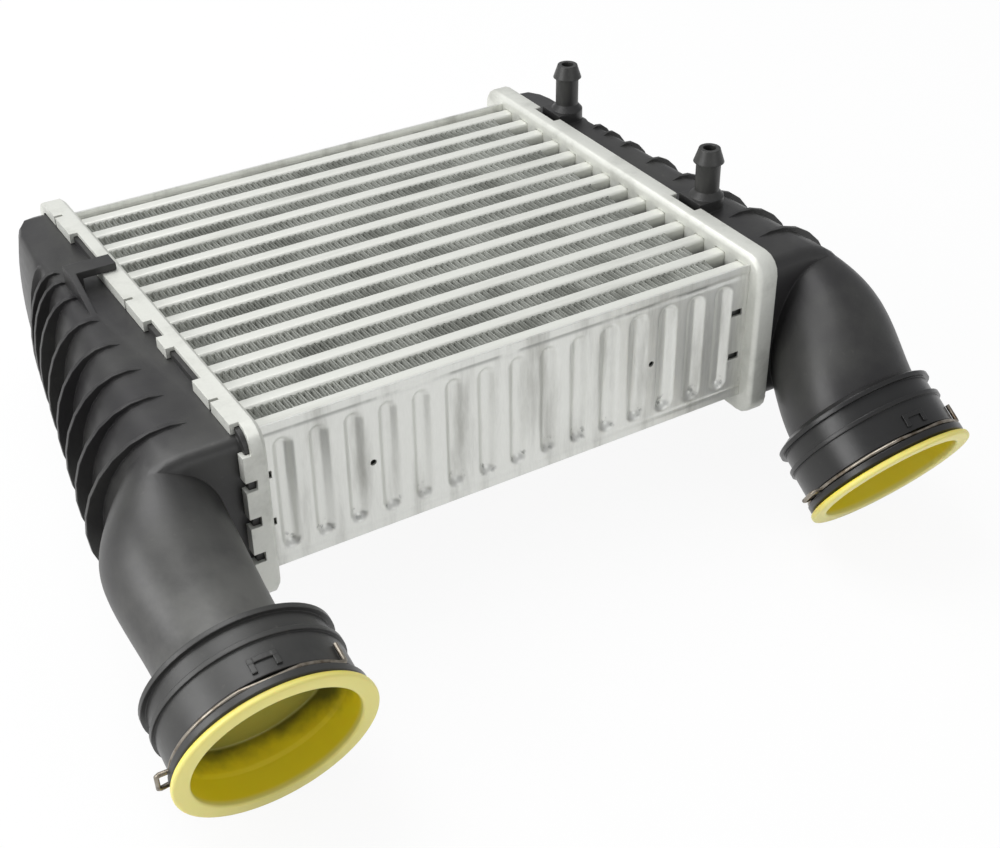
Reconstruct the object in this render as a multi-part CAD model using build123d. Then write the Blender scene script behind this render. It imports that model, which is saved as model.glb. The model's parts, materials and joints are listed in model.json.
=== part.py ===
from build123d import *
import os
from math import acos, cos, degrees, radians, sin

# Side-mounted charge-air cooler: an aluminium tube-and-fin core between two
# moulded plastic end tanks. X runs along the tubes, from the left tank to the
# right one; Y runs across the stack, with both hose ports at -Y; Z runs along
# the cooling air. The origin is the middle of the core's lower air face.
# All sizes are in millimetres and degrees.

# Core: flat tubes with a corrugated fin between each two of them
CORE_LENGTH = 215.0  # between the two header plates
TUBE_COUNT = 14
TUBE_THICKNESS = 6.4
TUBE_DEPTH = 58.0
PLATE_EDGE = 2.0  # side plate past the tubes' noses, above and below
TUBE_WALL = 0.5
TUBE_NOSE = 2.0  # how far each nose is bevelled
TUBE_PROTRUSION = 1.5  # tube end past the header plate's floor
FIN_HEIGHT = 7.3
FIN_SPACING = 10.2  # from one fin wall to the next
FIN_SHEET = 0.3
FIN_END_GAP = 1.0  # between a fin's last wall and the header plate
TURBULATOR_WALLS = 4
TURBULATOR_SHEET = 0.4
TURBULATOR_EDGE = 4.0  # from the tube's nose to the turbulator

# Side plates: one sheet each, with pressed ribs that touch the outer tubes
PLATE_SHEET = 1.0
PLATE_RIB_COUNT = 15
PLATE_RIB_PITCH = 13.9
PLATE_RIB_SHIFT = -2.1  # of the row of ribs from the middle of the plate
PLATE_RIB_WIDTH = 7.5
PLATE_RIB_EDGE = 6.5  # from a rib's end to the plate's edge
PLATE_RIB_DEPTH = 1.9
PLATE_RIB_BEVEL = 2.4
PLATE_HOLE_RADIUS = 1.3
PLATE_HOLE_RIBS = (2.5, 11.5)  # each hole's place, counted in ribs
PLATE_SLOT_WIDTH = 1.8
PLATE_SLOT_HEIGHT = 3.0
PLATE_SLOT_EDGE = 2.2  # slot's middle from the header plate
PLATE_SLOT_SPACING = 20.0

# Header plates: drawn trays whose rims are crimped over the tanks' feet
HEADER_SHEET = 1.6
HEADER_DEPTH = 9.4
HEADER_OVERHANG_FRONT = 6.6  # past the side plate on the ports' side
HEADER_OVERHANG_BACK = 15.5
HEADER_OVERHANG_TOP = 3.6  # past the side plates' upper edges
HEADER_OVERHANG_LOW = 9.4
HEADER_CORNER_RADIUS = 8.5
HEADER_EDGE_BEVEL = 1.5
CORNER_STEPS = 4  # straight lengths round each corner
CRIMP_LIP = 2.7  # how far the crimped rim reaches over the foot
WINDOW_DEPTH = 3.4
SLIT_WIDTH = 1.6
LEFT_WINDOWS = ((64.0, 19.0), (46.7, 10.0), (-25.6, 13.0), (-60.1, 26.0))
LEFT_SLITS = (88.4, 6.7, -75.6)
RIGHT_WINDOW_WIDTH = 16.4  # at each pin's saddle
CORNER_WINDOW = 9.0
SIDE_WINDOW_COUNT = 3
SIDE_WINDOW_WIDTH = 4.2
SIDE_WINDOW_PITCH = 15.8
SIDE_WINDOW_DEPTH = 4.4

# Gaskets between header plates and tanks
GASKET_THICKNESS = 2.5
GASKET_WIDTH = 3.0
SEAT_CLEARANCE = 0.2

# End tanks: a foot, a flat-topped body and a bulge that grows towards the port
TANK_WALL = 3.0
TANK_FLAT_FRONT = 18.0  # flat top's width past the header, at the port end
TANK_FLAT_BACK = 14.0
TANK_REACH_FRONT = 48.0  # bulged wall past the header, under the ribs
TANK_REACH_BACK = 11.5
TANK_BULGE_STEPS = 14  # straight lengths round the bulge
TANK_RIB_RISE = 6.5
TANK_RIB_LIFT = 1.2  # a rib's crest over the flat top
TANK_RIB_THICKNESS = 1.8
TANK_RIB_FIRST = -76.5
TANK_RIB_PITCH = 20.5
TANK_RIB_COUNT = 6
TANK_CLOSE_RIBS = (40.0, 49.0)
TANK_RIB_TAIL = 30.0  # angle that a rib's outline runs on inside the body
TANK_BLOCK_START = 60.0  # where the smooth back end begins
TANK_BLOCK_STEP = 1.2
TANK_BLOCK_RISE = 4.5
TANK_BACK_RADIUS = 17.0
TANK_EDGE_RADIUS = 4.5
TANK_EDGE_STEPS = 3
TANK_FOOT_SINK = 0.3  # body's inner end, inside the foot
DUCT_ROOT_INSET = 13.25  # behind the body's front end
DUCT_ROOT_SINK = 2.0

# Ports: one socket on each tank, tilted down about X
LEFT_PORT_OUT = 28.8  # mouth's middle past the header
LEFT_PORT_AHEAD = 80.25  # and in front of the header
LEFT_PORT_BELOW = 26.8  # and below the middle of the core
LEFT_PORT_DROP = 17.2
LEFT_DUCT_RADIUS = 23.6
LEFT_DUCT_SHIFT = 2.4  # of the duct's end outwards from the socket's axis
RIGHT_PORT_OUT = 21.4
RIGHT_PORT_AHEAD = 56.45
RIGHT_PORT_BELOW = 48.5
RIGHT_PORT_DROP = 32.5
RIGHT_DUCT_RADIUS = 28.2
RIGHT_DUCT_SHIFT = 1.2
LEFT_BORE_INSET = 0.5  # how much more the bore is drawn in at its root
RIGHT_BORE_INSET = 2.0
# Sections of each duct: distance behind the mouth, shift outwards, lift,
# and how much wider and taller than the duct's end
LEFT_DUCT = ((86.0, 1.6, 0.0, 0.3, 2.9), (63.0, 2.4, 0.0, 0.3, 0.9))
RIGHT_DUCT = ((62.0, 6.2, 2.0, -1.8, 1.3), (46.0, 3.0, 1.0, 0.0, 0.8))
SOCKET_RADIUS = 31.2
SOCKET_DEPTH = 27.5
LIP_RADIUS = 35.0
LIP_WIDTH = 3.5
LIP_ROUND = 1.2
GROOVE_WIDTH = 2.4
GROOVE_RADIUS = 32.6
COLLAR_RADIUS = 33.4
COLLAR_LENGTH = 12.0
RING_RADIUS = 34.4
RING_WIDTH = 1.8
NECK_RADIUS = 32.6
NECK_LENGTH = 7.0
SHOULDER_LENGTH = 2.4
SHOULDER_LAND = 0.6  # flat ring between the shoulder and the duct
SLOT_MIDDLE = 92.0  # angle of the upper slot, from +X towards up
CLIP_MIDDLE = 185.0  # angle of the clip's loop

# Spring clips, port seals and transport plugs
WIRE_RADIUS = 0.9
WIRE_CLEARANCE = 0.1
WIRE_SIDES = 8
WIRE_STEP = 15.0  # angle of each straight length round a bend
CLIP_HALF_SPAN = 142.0  # angle from the loop to each hook
LOOP_HALF_ANGLE = 7.0
LOOP_RISE = 4.5
HOOK_LENGTH = 7.5
CLIP_LEAD = 4.0  # angle between a hook and the seated stretch
SEAL_THICKNESS = 2.4
SEAL_WIDTH = 2.8
PLUG_FLANGE_RADIUS = 36.0
PLUG_FLANGE_THICKNESS = 2.5
PLUG_WALL = 1.2
PLUG_DEPTH = 23.0
PLUG_STEP_DEPTH = 12.0
PLUG_STEP = 0.8
PLUG_CLEARANCE = 0.2

# Mounting pins on the right tank, hooked bracket on the left one
PIN_STATIONS = (66.0, -42.0)
PIN_SETBACK = 9.1  # pin's axis past the header
PIN_RADIUS = 5.3
PIN_HEIGHT = 26.5  # over the tank's top
PIN_BARB_RADIUS = 6.6
PIN_BARB_LENGTH = 6.0
PIN_TIP_RADIUS = 4.6
PIN_BORE_RADIUS = 2.8
PIN_BORE_DEPTH = 14.0
PIN_BASE_HEIGHT = 7.5
PIN_BASE_RADIUS = 7.4
PIN_PLATE_HEIGHT = 5.0
PIN_PLATE_HALF_WIDTH = 7.4
BRACKET_Y = 35.0
BRACKET_WIDTH = 8.6
BRACKET_THICKNESS = 3.0
BRACKET_OVERLAP = 5.9  # over the header plate's rim
BRACKET_CLEARANCE = 0.4
BRACKET_ROOT = 13.0  # past the header
GUSSET_LENGTH = 21.0
GUSSET_THICKNESS = 2.6

# Derived places
TUBES = round(TUBE_COUNT)
TUBE_PITCH = TUBE_THICKNESS + FIN_HEIGHT
STACK_HALF = (TUBES * TUBE_PITCH - FIN_HEIGHT) / 2
PLATE_FACE = STACK_HALF + PLATE_RIB_DEPTH + PLATE_SHEET
CORE_DEPTH = TUBE_DEPTH + 2 * PLATE_EDGE
MID_DEPTH = CORE_DEPTH / 2
PLATE_RIBS = round(PLATE_RIB_COUNT)
PLATE_RIB_HEIGHT = CORE_DEPTH - 2 * PLATE_RIB_EDGE
HEADER_FACE = CORE_LENGTH / 2
HEADER_FLOOR = HEADER_FACE + HEADER_SHEET
HEADER_END = HEADER_FACE + HEADER_DEPTH
HEADER_HALF_Y = PLATE_FACE + (HEADER_OVERHANG_FRONT + HEADER_OVERHANG_BACK) / 2
HEADER_HALF_Z = MID_DEPTH + (HEADER_OVERHANG_TOP + HEADER_OVERHANG_LOW) / 2
HEADER_MID_Y = (HEADER_OVERHANG_BACK - HEADER_OVERHANG_FRONT) / 2
HEADER_MID_Z = MID_DEPTH + (HEADER_OVERHANG_TOP - HEADER_OVERHANG_LOW) / 2
TRAY_HALF_Y = HEADER_HALF_Y - HEADER_SHEET
TRAY_HALF_Z = HEADER_HALF_Z - HEADER_SHEET
FOOT_START = HEADER_FLOOR + GASKET_THICKNESS
FOOT_END = HEADER_END - HEADER_SHEET
BODY_HALF_Y = TRAY_HALF_Y - CRIMP_LIP - SEAT_CLEARANCE
BODY_HALF_Z = TRAY_HALF_Z - CRIMP_LIP - SEAT_CLEARANCE
BODY_FRONT = HEADER_MID_Y - BODY_HALF_Y
BODY_BACK = HEADER_MID_Y + BODY_HALF_Y
BODY_TOP = HEADER_MID_Z + BODY_HALF_Z
HEADER_TOP = HEADER_MID_Z + HEADER_HALF_Z
HEADER_FRONT = HEADER_MID_Y - HEADER_HALF_Y
DUCT_ROOT = BODY_FRONT + DUCT_ROOT_INSET
GROOVE_START = PLUG_FLANGE_THICKNESS + LIP_WIDTH
GROOVE_END = GROOVE_START + GROOVE_WIDTH
COLLAR_END = GROOVE_END + COLLAR_LENGTH
NECK_START = COLLAR_END + RING_WIDTH
NECK_END = NECK_START + NECK_LENGTH
SHOULDER_START = NECK_END + RING_WIDTH
SHOULDER_END = SHOULDER_START + SHOULDER_LENGTH
SOCKET_END = PLUG_FLANGE_THICKNESS + SOCKET_DEPTH
WIRE_STATION = (GROOVE_START + GROOVE_END) / 2
PLUG_RADIUS = SOCKET_RADIUS - PLUG_CLEARANCE
CLIP_SEAT = (GROOVE_RADIUS + WIRE_RADIUS + WIRE_CLEARANCE) / cos(radians(WIRE_STEP / 2))


def tube_row(count):
    """Y of each of count tubes, or of the count fins between them."""
    return [TUBE_PITCH * (index - (count - 1) / 2) for index in range(count)]


def spread(first, last, count):
    """Evenly spaced values, both ends included."""
    return [first + (last - first) * index / (count - 1) for index in range(count)]


def arc_points(middle, radii, first, last, count):
    """Points on an ellipse about middle, from one angle to another."""
    return [
        (middle[0] + radii[0] * cos(radians(angle)), middle[1] + radii[1] * sin(radians(angle)))
        for angle in spread(first, last, count)
    ]


def rounded_outline(half_width, half_height, radius):
    """Rectangle whose corners are rounded in straight steps."""
    points = []
    for u, v, first in ((1, 1, 0), (-1, 1, 90), (-1, -1, 180), (1, -1, 270)):
        middle = (u * (half_width - radius), v * (half_height - radius))
        points += arc_points(middle, (radius, radius), first, first + 90, CORNER_STEPS + 1)
    return make_face(Polyline(*points, close=True))


def zigzag_band(along, across, sheet):
    """Closed outline of a folded sheet: its fold lines lie at the places along,
    and it touches +across and -across in turn."""
    amplitude = across - sheet / 2
    crest = [(place, amplitude * (-1) ** index) for index, place in enumerate(along)]
    upper = [(u, v + sheet / 2) for u, v in crest]
    lower = [(u, v - sheet / 2) for u, v in reversed(crest)]
    return make_face(Polyline(*upper, *lower, close=True))


# Core


def make_tube(y):
    """Flat tube with bevelled noses, open at both ends."""
    half = HEADER_FLOOR + TUBE_PROTRUSION
    plane = Plane((-half, y, MID_DEPTH), x_dir=(0, 1, 0), z_dir=(1, 0, 0))
    outer = Rectangle(TUBE_THICKNESS, TUBE_DEPTH)
    outer = chamfer(outer.vertices(), TUBE_NOSE)
    inner = Rectangle(TUBE_THICKNESS - 2 * TUBE_WALL, TUBE_DEPTH - 2 * TUBE_NOSE)
    return extrude(plane * (outer - inner), 2 * half)


def make_turbulator(y):
    """Folded sheet inside a tube; its walls run along the charge air."""
    half_length = HEADER_FACE
    half_depth = TUBE_DEPTH / 2 - TUBE_NOSE - TURBULATOR_EDGE
    half_gap = TUBE_THICKNESS / 2 - TUBE_WALL
    folds = spread(-half_depth, half_depth, TURBULATOR_WALLS + 1)
    plane = Plane((-half_length, y, MID_DEPTH), x_dir=(0, 0, 1), z_dir=(1, 0, 0))
    band = zigzag_band(folds, half_gap, TURBULATOR_SHEET)
    return extrude(plane * band, 2 * half_length)


def make_fin(y):
    """Corrugated fin between two tubes; its walls run along the cooling air."""
    half_length = HEADER_FACE - FIN_END_GAP
    walls = round(2 * half_length / FIN_SPACING)
    folds = spread(-half_length, half_length, walls + 1)
    slope_sheet = FIN_SHEET * (FIN_HEIGHT ** 2 + FIN_SPACING ** 2) ** 0.5 / FIN_SPACING
    plane = Plane((0, y, MID_DEPTH - TUBE_DEPTH / 2))
    return extrude(plane * zigzag_band(folds, FIN_HEIGHT / 2, slope_sheet), TUBE_DEPTH)


def rib_outline(inset):
    """Outline of a pressed rib with bevelled ends."""
    outline = Rectangle(PLATE_RIB_WIDTH - 2 * inset, PLATE_RIB_HEIGHT - 2 * inset)
    return chamfer(outline.vertices(), PLATE_RIB_BEVEL - inset / 2)


def make_side_plate(side):
    """Side plate: sheet with a row of ribs pressed in from outside."""
    outer = Plane((0, side * PLATE_FACE, MID_DEPTH), x_dir=(1, 0, 0), z_dir=(0, -side, 0))
    ribs = [
        PLATE_RIB_SHIFT + PLATE_RIB_PITCH * (index - (PLATE_RIBS - 1) / 2)
        for index in range(PLATE_RIBS)
    ]
    bump = rib_outline(0.0)
    recess = rib_outline(PLATE_SHEET)
    plate = extrude(outer * Rectangle(CORE_LENGTH, CORE_DEPTH), PLATE_SHEET)
    bump_plane = outer.offset(PLATE_SHEET)
    plate += [extrude(bump_plane * Pos(x, 0) * bump, PLATE_RIB_DEPTH) for x in ribs]
    plate -= [extrude(outer * Pos(x, 0) * recess, PLATE_RIB_DEPTH) for x in ribs]
    first_rib = ribs[0]
    holes = [
        Pos(first_rib + PLATE_RIB_PITCH * place, 0) * Circle(PLATE_HOLE_RADIUS)
        for place in PLATE_HOLE_RIBS
    ]
    slot_x = HEADER_FACE - PLATE_SLOT_EDGE
    slots = [
        Pos(x, z) * Rectangle(PLATE_SLOT_WIDTH, PLATE_SLOT_HEIGHT)
        for x in (-slot_x, slot_x)
        for z in (-PLATE_SLOT_SPACING / 2, PLATE_SLOT_SPACING / 2)
    ]
    return plate - [extrude(outer * cut, PLATE_SHEET) for cut in holes + slots]


# Header plates


def across(x):
    """Plane across the tubes at x, about the header's middle: +Y, then +Z."""
    return Plane((x, HEADER_MID_Y, HEADER_MID_Z), x_dir=(0, 1, 0), z_dir=(1, 0, 0))


def window(x, y, z, depth, width, height):
    """Block that cuts the crimped rim from its edge inwards."""
    return Pos(x - depth / 2, y, z) * Box(depth, width, height)


def rim_windows(side):
    """Every opening in the crimped rim of one header plate."""
    reach = CRIMP_LIP + HEADER_SHEET
    top = HEADER_TOP - reach / 2
    low = HEADER_MID_Z - HEADER_HALF_Z + reach / 2
    if side > 0:
        return [window(HEADER_END, y, top, WINDOW_DEPTH, RIGHT_WINDOW_WIDTH, reach) for y in PIN_STATIONS]
    long_side = list(LEFT_WINDOWS) + [(y, SLIT_WIDTH) for y in LEFT_SLITS]
    cuts = []
    for y, width in long_side:
        cuts += [window(HEADER_END, y, z, WINDOW_DEPTH, width, reach) for z in (top, low)]
    count = round(SIDE_WINDOW_COUNT)
    for index in range(count):
        z = HEADER_MID_Z + SIDE_WINDOW_PITCH * (index - (count - 1) / 2)
        for sign in (-1, 1):
            y = HEADER_MID_Y + sign * (HEADER_HALF_Y - reach / 2)
            cuts.append(window(HEADER_END, y, z, SIDE_WINDOW_DEPTH, reach, SIDE_WINDOW_WIDTH))
    y = HEADER_FRONT + CORNER_WINDOW / 2
    z = HEADER_TOP - CORNER_WINDOW / 2
    cuts.append(window(HEADER_END, y, z, WINDOW_DEPTH, CORNER_WINDOW, CORNER_WINDOW))
    return cuts


def make_header(side):
    """Drawn tray with a slot for each tube and a crimped, windowed rim."""
    outline = rounded_outline(HEADER_HALF_Y, HEADER_HALF_Z, HEADER_CORNER_RADIUS)
    tray = extrude(across(HEADER_FACE) * outline, HEADER_DEPTH)
    tray = chamfer(tray.faces().sort_by(Axis.X)[0].edges(), HEADER_EDGE_BEVEL)
    tray_corner = HEADER_CORNER_RADIUS - HEADER_SHEET
    pocket = rounded_outline(TRAY_HALF_Y, TRAY_HALF_Z, tray_corner)
    tray -= extrude(across(HEADER_FLOOR) * pocket, FOOT_END - HEADER_FLOOR)
    mouth = rounded_outline(TRAY_HALF_Y - CRIMP_LIP, TRAY_HALF_Z - CRIMP_LIP, tray_corner - CRIMP_LIP)
    tray -= extrude(across(FOOT_END) * mouth, HEADER_SHEET)
    tray -= rim_windows(side)
    plane = Plane((HEADER_FACE, 0, MID_DEPTH), x_dir=(0, 1, 0), z_dir=(1, 0, 0))
    slots = [Pos(y, 0) * Rectangle(TUBE_THICKNESS, TUBE_DEPTH) for y in tube_row(TUBES)]
    tray -= [extrude(plane * slot, HEADER_SHEET) for slot in slots]
    return tray if side > 0 else mirror(tray, about=Plane.YZ)


def make_gasket(side):
    """Flat ring between the tray's floor and the tank's foot."""
    corner = HEADER_CORNER_RADIUS - HEADER_SHEET - SEAT_CLEARANCE
    half_y = TRAY_HALF_Y - SEAT_CLEARANCE
    half_z = TRAY_HALF_Z - SEAT_CLEARANCE
    ring = rounded_outline(half_y, half_z, corner)
    ring -= rounded_outline(half_y - GASKET_WIDTH, half_z - GASKET_WIDTH, corner - GASKET_WIDTH)
    gasket = extrude(across(HEADER_FLOOR) * ring, GASKET_THICKNESS)
    return gasket if side > 0 else mirror(gasket, about=Plane.YZ)


# End tanks


def along_body(y, front, back):
    """Value at y that changes evenly from the body's front end to its back."""
    return front + (back - front) * (y - BODY_FRONT) / (2 * BODY_HALF_Y)


def body_plane(y):
    """Plane across a tank body at y: its first axis is outward X."""
    return Plane((0, y, HEADER_MID_Z), x_dir=(1, 0, 0), z_dir=(0, -1, 0))


def body_section(y, rise=0.0, wall=0.0, rim=0.0, taper=0.0):
    """D-shaped section of a tank body at y.

    rise: how far it bulges past the plain body
    wall: how far it lies inside the outer surface
    rim: further inset of its top and bottom
    taper: how far its bulge is drawn back, the flat top in proportion
    """
    start = FOOT_START - wall if wall else FOOT_START + TANK_FOOT_SINK
    flat = HEADER_END + along_body(y, TANK_FLAT_FRONT, TANK_FLAT_BACK) - 2 * wall
    reach = HEADER_END + along_body(y, TANK_REACH_FRONT, TANK_REACH_BACK) + rise - wall
    share = (reach - taper - start) / (reach - start)
    flat = start + (flat - start) * share
    reach = reach - taper
    half = BODY_HALF_Z - wall - rim
    bulge = arc_points((flat, 0), (reach - flat, half), 90, -90, TANK_BULGE_STEPS + 1)
    return body_plane(y) * make_face(Polyline((start, -half), (start, half), *bulge, close=True))


def quarter(radius, share):
    """Inset of a quarter round at a share of its radius from its end."""
    return radius - (radius ** 2 - (radius * (1 - share)) ** 2) ** 0.5


def back_sections(wall=0.0):
    """Sections of the smooth back end, rounded in plan and at its rims."""
    start = TANK_BLOCK_START + wall
    sections = [body_section(start, 0, wall), body_section(start + TANK_BLOCK_STEP, TANK_BLOCK_RISE, wall)]
    corner = TANK_BACK_RADIUS - wall
    edge = TANK_EDGE_RADIUS - wall
    for angle in spread(0, 90, CORNER_STEPS + 1):
        left = corner * (1 - sin(radians(angle)))
        taper = corner * (1 - cos(radians(angle)))
        rim = quarter(edge, left / edge) if left < edge else 0.0
        sections.append(body_section(BODY_BACK - wall - left, TANK_BLOCK_RISE, wall, rim, taper))
    return sections


def front_sections():
    """Sections of the rounded front end."""
    sections = []
    for angle in spread(0, 90, TANK_EDGE_STEPS + 1):
        inset = TANK_EDGE_RADIUS * (1 - sin(radians(angle)))
        y = BODY_FRONT + TANK_EDGE_RADIUS * (1 - cos(radians(angle)))
        sections.append(body_section(y, -inset, 0, inset))
    return sections


def body_rib(y):
    """Crescent rib round the bulge; its outline runs on inside the body."""
    flat = HEADER_END + along_body(y, TANK_FLAT_FRONT, TANK_FLAT_BACK)
    reach = HEADER_END + along_body(y, TANK_REACH_FRONT, TANK_REACH_BACK) + TANK_RIB_RISE
    radii = (reach - flat, BODY_HALF_Z + TANK_RIB_LIFT)
    last = 90 + TANK_RIB_TAIL
    crescent = arc_points((flat, 0), radii, last, -last, TANK_BULGE_STEPS + 5)
    outline = make_face(Polyline(*crescent, close=True))
    return extrude(body_plane(y + TANK_RIB_THICKNESS / 2) * outline, TANK_RIB_THICKNESS)


def tank_body():
    """Outside of a tank: foot, tapered body, ribs and the smooth back end."""
    outline = rounded_outline(
        TRAY_HALF_Y - SEAT_CLEARANCE,
        TRAY_HALF_Z - SEAT_CLEARANCE,
        HEADER_CORNER_RADIUS - HEADER_SHEET - SEAT_CLEARANCE,
    )
    foot = extrude(across(FOOT_START) * outline, FOOT_END - FOOT_START)
    body = loft(front_sections() + back_sections(), ruled=True)
    stations = [TANK_RIB_FIRST + TANK_RIB_PITCH * index for index in range(round(TANK_RIB_COUNT))]
    return foot + body + [body_rib(y) for y in stations + list(TANK_CLOSE_RIBS)]


def body_cavity():
    """Inside of a tank body, open towards the header plate."""
    return loft([body_section(BODY_FRONT + TANK_WALL, 0, TANK_WALL)] + back_sections(TANK_WALL), ruled=True)


# Ports


PORT_PLACES = {
    -1: (LEFT_PORT_OUT, LEFT_PORT_AHEAD, LEFT_PORT_BELOW, LEFT_PORT_DROP),
    1: (RIGHT_PORT_OUT, RIGHT_PORT_AHEAD, RIGHT_PORT_BELOW, RIGHT_PORT_DROP),
}
DUCT_RADIUS = {-1: LEFT_DUCT_RADIUS, 1: RIGHT_DUCT_RADIUS}
DUCT_SHIFT = {-1: LEFT_DUCT_SHIFT, 1: RIGHT_DUCT_SHIFT}
DUCT_SECTIONS = {-1: LEFT_DUCT, 1: RIGHT_DUCT}
BORE_INSET = {-1: LEFT_BORE_INSET, 1: RIGHT_BORE_INSET}


def port_plane(side, station=0.0):
    """Plane across a port's axis, station behind its mouth; +Z points out."""
    past, ahead, below, drop = PORT_PLACES[side]
    out = Vector(0, -cos(radians(drop)), -sin(radians(drop)))
    mouth = Vector(side * (HEADER_END + past), HEADER_FRONT - ahead, MID_DEPTH - below)
    origin = mouth - out * station
    return Plane(origin, x_dir=(1, 0, 0), z_dir=out)


def duct_loft(side, wall=0.0):
    """Elbow from the body's section to the round neck of the socket."""
    radius = DUCT_RADIUS[side]
    reach = HEADER_END + along_body(DUCT_ROOT, TANK_REACH_FRONT, TANK_REACH_BACK)
    near = HEADER_END + TANK_WALL
    root_origin = (side * (near + reach) / 2, DUCT_ROOT, HEADER_MID_Z)
    root_plane = Plane(root_origin, x_dir=(1, 0, 0), z_dir=(0, -1, 0))
    sunk = DUCT_ROOT_SINK + (wall + BORE_INSET[side] if wall else 0.0)
    sections = [root_plane * Ellipse((reach - near) / 2 - sunk, BODY_HALF_Z - sunk)]
    for station, shift, lift, wider, taller in DUCT_SECTIONS[side]:
        plane = port_plane(side, station) * Pos(side * shift, lift)
        sections.append(plane * Ellipse(radius + wider - wall, radius + taller - wall))
    end = port_plane(side, SHOULDER_START if wall == 0 else SOCKET_END)
    sections.append(end * Pos(side * DUCT_SHIFT[side], 0) * Circle(radius - wall))
    return loft(sections)


def collar_profile(side):
    """Half-section of a socket's outside and inside, as (radius, -station)."""
    radius = DUCT_RADIUS[side]
    front = PLUG_FLANGE_THICKNESS
    return [
        (SOCKET_RADIUS, front),
        (LIP_RADIUS - LIP_ROUND, front),
        (LIP_RADIUS, front + LIP_ROUND),
        (LIP_RADIUS, GROOVE_START),
        (GROOVE_RADIUS, GROOVE_START),
        (GROOVE_RADIUS, GROOVE_END),
        (COLLAR_RADIUS, GROOVE_END),
        (COLLAR_RADIUS, COLLAR_END),
        (RING_RADIUS, COLLAR_END),
        (RING_RADIUS, NECK_START),
        (NECK_RADIUS, NECK_START),
        (NECK_RADIUS, NECK_END),
        (RING_RADIUS, NECK_END),
        (RING_RADIUS, SHOULDER_START),
        (radius + DUCT_SHIFT[side] + SHOULDER_LAND, SHOULDER_END),
        (radius - TANK_WALL, SHOULDER_END),
        (radius - TANK_WALL, SOCKET_END),
        (SOCKET_RADIUS, SOCKET_END),
    ]


def spun(side, profile):
    """Solid turned about a port's axis from (radius, station) points."""
    half = make_face(Polyline(*[(r, 0, -s) for r, s in profile], close=True))
    return port_plane(side) * revolve(half, Axis.Z)


def wedge(side, middle, half_angle, start, length, outer):
    """Block behind the mouth, spanning an angle about a port's axis."""
    inner = SOCKET_RADIUS - PLUG_CLEARANCE / 2
    spread_half = outer * sin(radians(half_angle))
    block = Pos((inner + outer) / 2, 0, -start - length / 2) * Box(
        outer - inner, 2 * spread_half, length
    )
    return port_plane(side) * (Rot(0, 0, middle) * block)


def slot_half_angle():
    """Half the angle of the straight stretch of the clip in a slot."""
    straight = PLUG_RADIUS + WIRE_RADIUS + WIRE_CLEARANCE
    return degrees(acos(straight / CLIP_SEAT))


def slot_angles():
    """Middle angles of the two slots, mirrored about the clip's loop."""
    return (SLOT_MIDDLE, 2 * CLIP_MIDDLE - SLOT_MIDDLE)


def make_collar(side):
    """Socket with its groove, slots, rings and raised pads."""
    collar = spun(side, collar_profile(side))
    for angle in slot_angles():
        collar -= wedge(
            side, angle, slot_half_angle() + 2, GROOVE_START, GROOVE_WIDTH, LIP_RADIUS + 1
        )
    return collar


def make_pin(y):
    """Barbed mounting pin on its saddle, standing on the tank's top."""
    x = HEADER_END + PIN_SETBACK
    barb_start = PIN_HEIGHT - PIN_BARB_LENGTH
    profile = Polyline(
        (0, -TANK_WALL),
        (PIN_BASE_RADIUS, -TANK_WALL),
        (PIN_BASE_RADIUS, PIN_PLATE_HEIGHT),
        (PIN_RADIUS, PIN_BASE_HEIGHT),
        (PIN_RADIUS, barb_start),
        (PIN_BARB_RADIUS, barb_start),
        (PIN_TIP_RADIUS, PIN_HEIGHT),
        (PIN_BORE_RADIUS, PIN_HEIGHT),
        (PIN_BORE_RADIUS, PIN_HEIGHT - PIN_BORE_DEPTH),
        (0, PIN_HEIGHT - PIN_BORE_DEPTH),
        close=True,
    )
    pin = revolve(Plane.XZ * make_face(profile), Axis.Z)
    plate_length = PIN_SETBACK - SEAT_CLEARANCE
    plate = Pos(-plate_length / 2, 0, (PIN_PLATE_HEIGHT - TANK_WALL) / 2) * Box(
        plate_length, 2 * PIN_PLATE_HALF_WIDTH, PIN_PLATE_HEIGHT + TANK_WALL
    )
    return Pos(x, y, BODY_TOP) * (pin + plate)


def make_bracket():
    """Hooked bracket: a bar over the header's rim, a post and a gusset."""
    bar_low = HEADER_TOP + BRACKET_CLEARANCE
    bar_high = bar_low + BRACKET_THICKNESS
    root = HEADER_END + BRACKET_ROOT
    start = HEADER_END - BRACKET_OVERLAP
    bar = Pos((start + root) / 2, BRACKET_Y, (bar_low + bar_high) / 2) * Box(
        root - start, BRACKET_WIDTH, BRACKET_THICKNESS
    )
    sunk = BODY_TOP - TANK_WALL / 2
    post_width = 2 * GUSSET_THICKNESS
    post = Pos(root - post_width / 2, BRACKET_Y, (sunk + bar_low) / 2) * Box(
        post_width, BRACKET_WIDTH, bar_low - sunk
    )
    heel = BRACKET_Y - BRACKET_WIDTH / 2
    web = Polyline(
        (heel, sunk), (heel, bar_high), (heel - GUSSET_LENGTH, BODY_TOP),
        (heel - GUSSET_LENGTH, sunk), close=True,
    )
    plane = Plane((root - GUSSET_THICKNESS, 0, 0), x_dir=(0, 1, 0), z_dir=(1, 0, 0))
    gusset = extrude(plane * make_face(web), GUSSET_THICKNESS)
    return bar + post + gusset


def make_tank(side):
    """End tank: body, duct and socket as one moulding."""
    body = tank_body()
    cavity = body_cavity()
    if side > 0:
        body += [make_pin(y) for y in PIN_STATIONS]
    else:
        body += make_bracket()
        body = mirror(body, about=Plane.YZ)
        cavity = mirror(cavity, about=Plane.YZ)
    outside = body + duct_loft(side)
    inside = cavity + duct_loft(side, TANK_WALL)
    return outside - inside + make_collar(side)


# Clips, seals and plugs


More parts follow.
